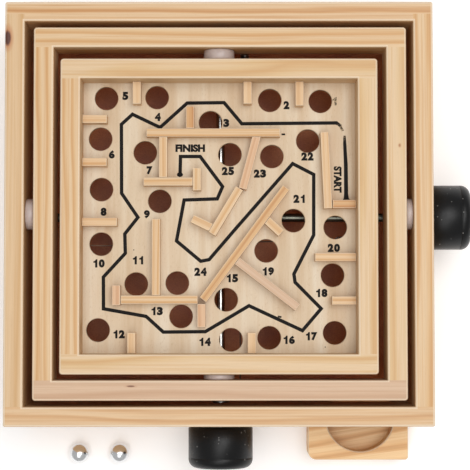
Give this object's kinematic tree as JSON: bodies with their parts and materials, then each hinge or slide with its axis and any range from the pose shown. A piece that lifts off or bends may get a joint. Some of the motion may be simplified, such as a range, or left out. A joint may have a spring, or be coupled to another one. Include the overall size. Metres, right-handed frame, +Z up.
{
  "type": "wooden tilt maze game",
  "caption": "Square open wooden box with two nested tilting frames on crossed pivots, a drilled and printed maze board, two knobs, a ball tray and loose steel balls.",
  "frame": {"origin": "centre of the square box's underside, on the table", "axes": "+Z up; +X towards the side with the right knob; -Y towards the side with the front knob and the ball tray"},
  "size_m": [0.2388, 0.2385, 0.074],
  "materials": {
    "pine_box": "planed and sanded pine, clear matt lacquer",
    "pine_gimbal": "planed and sanded pine, clear matt lacquer",
    "pine_board_frame": "planed and sanded pine, clear matt lacquer",
    "plywood": "sanded birch plywood with a printed face",
    "strip_wood": "sawn basswood strip",
    "hardboard": "brown pressed hardboard",
    "cleat_wood": "rough sawn pine",
    "tray_wood": "planed pine, clear matt lacquer",
    "black_knob": "moulded black plastic, satin",
    "nylon": "translucent white nylon",
    "steel_rod": "drawn bright steel",
    "nail_steel": "bright wire nail",
    "spring_steel": "spring wire",
    "cord": "braided polyester cord",
    "ball_steel": "polished bearing steel"
  },
  "bodies": {
    "box": {"box_wall_front": "pine_box", "box_wall_back": "pine_box", "box_wall_left": "pine_box", "box_wall_right": "pine_box", "ball_ramp": "hardboard", "ramp_cleats": "cleat_wood", "outlet_guide_block": "cleat_wood", "ball_tray": "tray_wood", "box_corner_brads": "nail_steel", "gimbal_pivot_pins": "nail_steel", "gimbal_pivot_spacers": "nylon", "gimbal_cord": "cord", "board_cord": "cord"},
    "gimbal": {"gimbal_rail_front": "pine_gimbal", "gimbal_rail_back": "pine_gimbal", "gimbal_rail_left": "pine_gimbal", "gimbal_rail_right": "pine_gimbal", "board_pivot_pins": "nail_steel", "board_pivot_spacers": "nylon", "gimbal_cord_pins": "nail_steel", "gimbal_cord_spring": "spring_steel"},
    "board": {"board_rail_front": "pine_board_frame", "board_rail_back": "pine_board_frame", "board_rail_left": "pine_board_frame", "board_rail_right": "pine_board_frame", "maze_board": "plywood", "board_cord_pins": "nail_steel", "edge_stub_strips": "strip_wood", "strip_left_rail": "strip_wood", "strip_right_rail": "strip_wood", "strip_start": "strip_wood", "strip_back_long": "strip_wood", "strip_back_short": "strip_wood", "strip_finish_right": "strip_wood", "strip_finish_front": "strip_wood", "strip_finish_left": "strip_wood", "strip_start_side": "strip_wood", "strip_middle_upper": "strip_wood", "strip_middle_lower": "strip_wood", "strip_middle_spur": "strip_wood", "strip_front_long": "strip_wood", "strip_diagonal": "strip_wood", "strip_diagonal_stub": "strip_wood", "strip_diagonal_spur": "strip_wood", "strip_left_tall": "strip_wood", "strip_front_left": "strip_wood", "strip_front_right": "strip_wood", "board_cord_spring": "spring_steel"},
    "right_knob_shaft": {"right_knob": "black_knob", "right_shaft": "steel_rod", "right_shaft_retainer": "spring_steel", "right_cord_winding": "cord"},
    "front_knob_shaft": {"front_knob": "black_knob", "front_shaft": "steel_rod", "front_shaft_retainer": "spring_steel", "front_cord_winding": "cord"},
    "ball_left": {"steel_ball_left": "ball_steel"},
    "ball_right": {"steel_ball_right": "ball_steel"}
  },
  "joints": [
    {"name": "gimbal_tilt", "type": "hinge", "parent": "box", "child": "gimbal", "pos_m": [0, 0, 0.063], "axis": [1, 0, 0], "range_deg": [-5, 5], "deforming": ["gimbal_cord", "gimbal_cord_spring"]},
    {"name": "board_tilt", "type": "hinge", "parent": "gimbal", "child": "board", "pos_m": [0, 0, 0.063], "axis": [0, 1, 0], "range_deg": [-5, 5], "deforming": ["board_cord", "board_cord_spring"]},
    {"name": "right_knob_turn", "type": "hinge", "parent": "box", "child": "right_knob_shaft", "pos_m": [0.108, -0.0005, 0.0405], "axis": [1, 0, 0], "range_deg": [-48, 48]},
    {"name": "front_knob_turn", "type": "hinge", "parent": "box", "child": "front_knob_shaft", "pos_m": [0.0005, -0.107, 0.0345], "axis": [0, 1, 0], "range_deg": [-58, 58]},
    {"name": "ball_left_lift", "type": "slide", "parent": "box", "child": "ball_left", "axis": [0, 0, 1], "range_m": [0, 0.06]},
    {"name": "ball_right_lift", "type": "slide", "parent": "box", "child": "ball_right", "axis": [0, 0, 1], "range_m": [0, 0.06]}
  ],
  "couplings": [
    {"joint": "right_knob_turn", "follows": "gimbal_tilt", "ratio": 9.43},
    {"joint": "front_knob_turn", "follows": "board_tilt", "ratio": 11.497}
  ]
}
